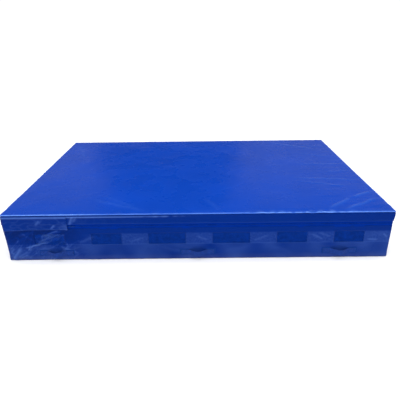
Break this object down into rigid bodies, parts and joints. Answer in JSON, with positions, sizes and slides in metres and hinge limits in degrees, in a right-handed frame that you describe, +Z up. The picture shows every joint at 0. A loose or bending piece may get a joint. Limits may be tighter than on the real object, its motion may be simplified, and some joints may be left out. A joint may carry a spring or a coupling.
{
  "type": "gym landing mat",
  "caption": "Thick one-piece gym landing mat: soft foam in a blue PVC cover with a zipped skirt, mesh air vents, zip flaps and webbing carry handles.",
  "frame": {"origin": "middle of the underside, on the floor, at the centre of the bounding box's base", "axes": "+X along the mat's length, +Y across it, away from the wall with the long run of the zip, +Z up"},
  "size_m": [3.0818, 2.0818, 0.4],
  "materials": {
    "cover_pvc": "satin",
    "base_pvc": "matte",
    "piping_pvc": "gloss",
    "vent_mesh": "matte",
    "zip_tape": "matte",
    "zip_coil": "satin",
    "zip_metal": "satin",
    "webbing": "matte",
    "foam_soft": "matte",
    "foam_dense": "matte"
  },
  "bodies": {
    "cover": {"foam_base_slab": "foam_soft", "foam_core_slab": "foam_soft", "foam_impact_layer": "foam_dense", "base_panel": "base_pvc", "top_panel": "cover_pvc", "edge_piping": "piping_pvc", "skirt_band": "cover_pvc", "wall_front": "cover_pvc", "wall_right": "cover_pvc", "wall_back": "cover_pvc", "wall_left": "cover_pvc", "vent_mesh_front": "vent_mesh", "vent_mesh_right": "vent_mesh", "vent_mesh_back": "vent_mesh", "vent_mesh_left": "vent_mesh", "zip_tape_lower": "zip_tape", "zip_coil_lower": "zip_coil", "zip_tape_upper": "zip_tape", "zip_coil_upper": "zip_coil", "zip_stop_front": "zip_metal", "zip_stop_right": "zip_metal", "handle_front_1_patch_a": "webbing", "handle_front_1_patch_b": "webbing", "handle_front_2_patch_a": "webbing", "handle_front_2_patch_b": "webbing", "handle_front_3_patch_a": "webbing", "handle_front_3_patch_b": "webbing", "handle_right_1_patch_a": "webbing", "handle_right_1_patch_b": "webbing", "handle_right_2_patch_a": "webbing", "handle_right_2_patch_b": "webbing", "handle_back_1_patch_a": "webbing", "handle_back_1_patch_b": "webbing", "handle_back_2_patch_a": "webbing", "handle_back_2_patch_b": "webbing", "handle_back_3_patch_a": "webbing", "handle_back_3_patch_b": "webbing", "handle_left_1_patch_a": "webbing", "handle_left_1_patch_b": "webbing", "handle_left_2_patch_a": "webbing", "handle_left_2_patch_b": "webbing"},
    "handle_front_1": {"handle_front_1_strap": "webbing"},
    "handle_front_2": {"handle_front_2_strap": "webbing"},
    "handle_front_3": {"handle_front_3_strap": "webbing"},
    "handle_right_1": {"handle_right_1_strap": "webbing"},
    "handle_right_2": {"handle_right_2_strap": "webbing"},
    "handle_back_1": {"handle_back_1_strap": "webbing"},
    "handle_back_2": {"handle_back_2_strap": "webbing"},
    "handle_back_3": {"handle_back_3_strap": "webbing"},
    "handle_left_1": {"handle_left_1_strap": "webbing"},
    "handle_left_2": {"handle_left_2_strap": "webbing"},
    "slider_front": {"zip_slider_front": "zip_metal"},
    "pull_front": {"zip_pull_front": "zip_metal"},
    "flap_front": {"zip_flap_front": "cover_pvc"},
    "slider_right": {"zip_slider_right": "zip_metal"},
    "pull_right": {"zip_pull_right": "zip_metal"},
    "flap_right": {"zip_flap_right": "cover_pvc"}
  },
  "joints": [
    {"name": "handle_front_1_swing", "type": "hinge", "parent": "cover", "child": "handle_front_1", "pos_m": [-1.115, -1.0012, 0.064], "axis": [1, 0, 0], "range_deg": [-45, 45], "stiffness_Nm_per_rad": 0.01},
    {"name": "handle_front_2_swing", "type": "hinge", "parent": "cover", "child": "handle_front_2", "pos_m": [0, -1.0012, 0.064], "axis": [1, 0, 0], "range_deg": [-45, 45], "stiffness_Nm_per_rad": 0.01},
    {"name": "handle_front_3_swing", "type": "hinge", "parent": "cover", "child": "handle_front_3", "pos_m": [1.115, -1.0012, 0.064], "axis": [1, 0, 0], "range_deg": [-45, 45], "stiffness_Nm_per_rad": 0.01},
    {"name": "handle_right_1_swing", "type": "hinge", "parent": "cover", "child": "handle_right_1", "pos_m": [1.5012, -0.55, 0.064], "axis": [0, 1, 0], "range_deg": [-45, 45], "stiffness_Nm_per_rad": 0.01},
    {"name": "handle_right_2_swing", "type": "hinge", "parent": "cover", "child": "handle_right_2", "pos_m": [1.5012, 0.55, 0.064], "axis": [0, 1, 0], "range_deg": [-45, 45], "stiffness_Nm_per_rad": 0.01},
    {"name": "handle_back_1_swing", "type": "hinge", "parent": "cover", "child": "handle_back_1", "pos_m": [1.115, 1.0012, 0.064], "axis": [-1, 0, 0], "range_deg": [-45, 45], "stiffness_Nm_per_rad": 0.01},
    {"name": "handle_back_2_swing", "type": "hinge", "parent": "cover", "child": "handle_back_2", "pos_m": [0, 1.0012, 0.064], "axis": [-1, 0, 0], "range_deg": [-45, 45], "stiffness_Nm_per_rad": 0.01},
    {"name": "handle_back_3_swing", "type": "hinge", "parent": "cover", "child": "handle_back_3", "pos_m": [-1.115, 1.0012, 0.064], "axis": [-1, 0, 0], "range_deg": [-45, 45], "stiffness_Nm_per_rad": 0.01},
    {"name": "handle_left_1_swing", "type": "hinge", "parent": "cover", "child": "handle_left_1", "pos_m": [-1.5012, 0.55, 0.064], "axis": [0, -1, 0], "range_deg": [-45, 45], "stiffness_Nm_per_rad": 0.01},
    {"name": "handle_left_2_swing", "type": "hinge", "parent": "cover", "child": "handle_left_2", "pos_m": [-1.5012, -0.55, 0.064], "axis": [0, -1, 0], "range_deg": [-45, 45], "stiffness_Nm_per_rad": 0.01},
    {"name": "zip_run_front", "type": "slide", "parent": "cover", "child": "slider_front", "axis": [1, 0, 0], "range_m": [0, 2.43]},
    {"name": "zip_pull_turn_front", "type": "hinge", "parent": "slider_front", "child": "pull_front", "pos_m": [-0.968, -1.004, 0.298], "axis": [0, 0, -1], "range_deg": [0, 170]},
    {"name": "zip_flap_lift_front", "type": "hinge", "parent": "cover", "child": "flap_front", "pos_m": [-1.2425, -1.0009, 0.386], "axis": [-1, 0, 0], "range_deg": [0, 140]},
    {"name": "zip_run_right", "type": "slide", "parent": "cover", "child": "slider_right", "axis": [0, -1, 0], "range_m": [0, 1.43]},
    {"name": "zip_pull_turn_right", "type": "hinge", "parent": "slider_right", "child": "pull_right", "pos_m": [1.504, 0.468, 0.298], "axis": [0, 0, 1], "range_deg": [0, 170]},
    {"name": "zip_flap_lift_right", "type": "hinge", "parent": "cover", "child": "flap_right", "pos_m": [1.5009, 0.7425, 0.386], "axis": [0, -1, 0], "range_deg": [0, 140]}
  ]
}
